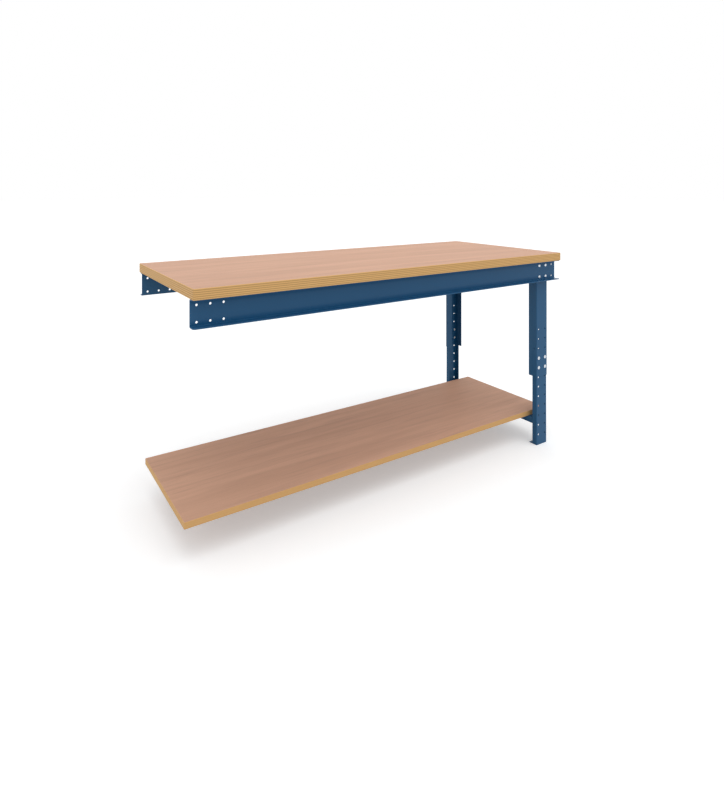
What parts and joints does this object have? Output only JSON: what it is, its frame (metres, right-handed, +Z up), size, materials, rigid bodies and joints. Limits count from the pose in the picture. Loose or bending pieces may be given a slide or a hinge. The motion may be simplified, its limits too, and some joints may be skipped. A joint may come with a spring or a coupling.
{
  "type": "assembly table",
  "caption": "Extension bay of a height-adjustable assembly table: plywood worktop on bent steel beams, telescoping punched legs at one end and a full-length lower shelf.",
  "frame": {"origin": "on the floor, under the middle of the worktop", "axes": "+X along the table towards the leg frame, +Y from front to back, +Z up"},
  "size_m": [2, 0.75, 1.003],
  "materials": {
    "beech_worktop": "clear-lacquered beech plywood, plies showing on the edges",
    "beech_shelf": "beech-faced board with plain golden edges",
    "blue_paint": "satin blue powder coat",
    "zinc": "bright zinc plate"
  },
  "bodies": {
    "lower_frame": {"shelf": "beech_shelf", "shelf_rail": "blue_paint", "front_lower_leg": "blue_paint", "rear_lower_leg": "blue_paint", "front_foot_plate": "blue_paint", "rear_foot_plate": "blue_paint", "shelf_screw_1": "zinc", "shelf_screw_2": "zinc", "shelf_screw_3": "zinc"},
    "upper_frame": {"worktop": "beech_worktop", "upper_rail": "blue_paint", "front_beam": "blue_paint", "rear_beam": "blue_paint", "front_upper_leg": "blue_paint", "rear_upper_leg": "blue_paint", "front_beam_bolt_1": "zinc", "front_beam_nut_1": "zinc", "front_beam_bolt_2": "zinc", "front_beam_nut_2": "zinc", "front_beam_bolt_3": "zinc", "front_beam_nut_3": "zinc", "front_beam_bolt_4": "zinc", "front_beam_nut_4": "zinc", "front_leg_bolt_1": "zinc", "front_leg_nut_1": "zinc", "front_leg_bolt_2": "zinc", "front_leg_nut_2": "zinc", "front_leg_bolt_3": "zinc", "front_leg_nut_3": "zinc", "front_leg_bolt_4": "zinc", "front_leg_nut_4": "zinc", "rear_beam_bolt_1": "zinc", "rear_beam_nut_1": "zinc", "rear_beam_bolt_2": "zinc", "rear_beam_nut_2": "zinc", "rear_beam_bolt_3": "zinc", "rear_beam_nut_3": "zinc", "rear_beam_bolt_4": "zinc", "rear_beam_nut_4": "zinc", "rear_leg_bolt_1": "zinc", "rear_leg_nut_1": "zinc", "rear_leg_bolt_2": "zinc", "rear_leg_nut_2": "zinc", "rear_leg_bolt_3": "zinc", "rear_leg_nut_3": "zinc", "rear_leg_bolt_4": "zinc", "rear_leg_nut_4": "zinc", "front_worktop_screw_1": "zinc", "front_worktop_screw_2": "zinc", "front_worktop_screw_3": "zinc", "front_worktop_screw_4": "zinc", "rear_worktop_screw_1": "zinc", "rear_worktop_screw_2": "zinc", "rear_worktop_screw_3": "zinc", "rear_worktop_screw_4": "zinc"}
  },
  "joints": [
    {"name": "height_adjust", "type": "slide", "parent": "lower_frame", "child": "upper_frame", "axis": [0, 0, 1], "range_m": [-0.15, 0.15]}
  ]
}
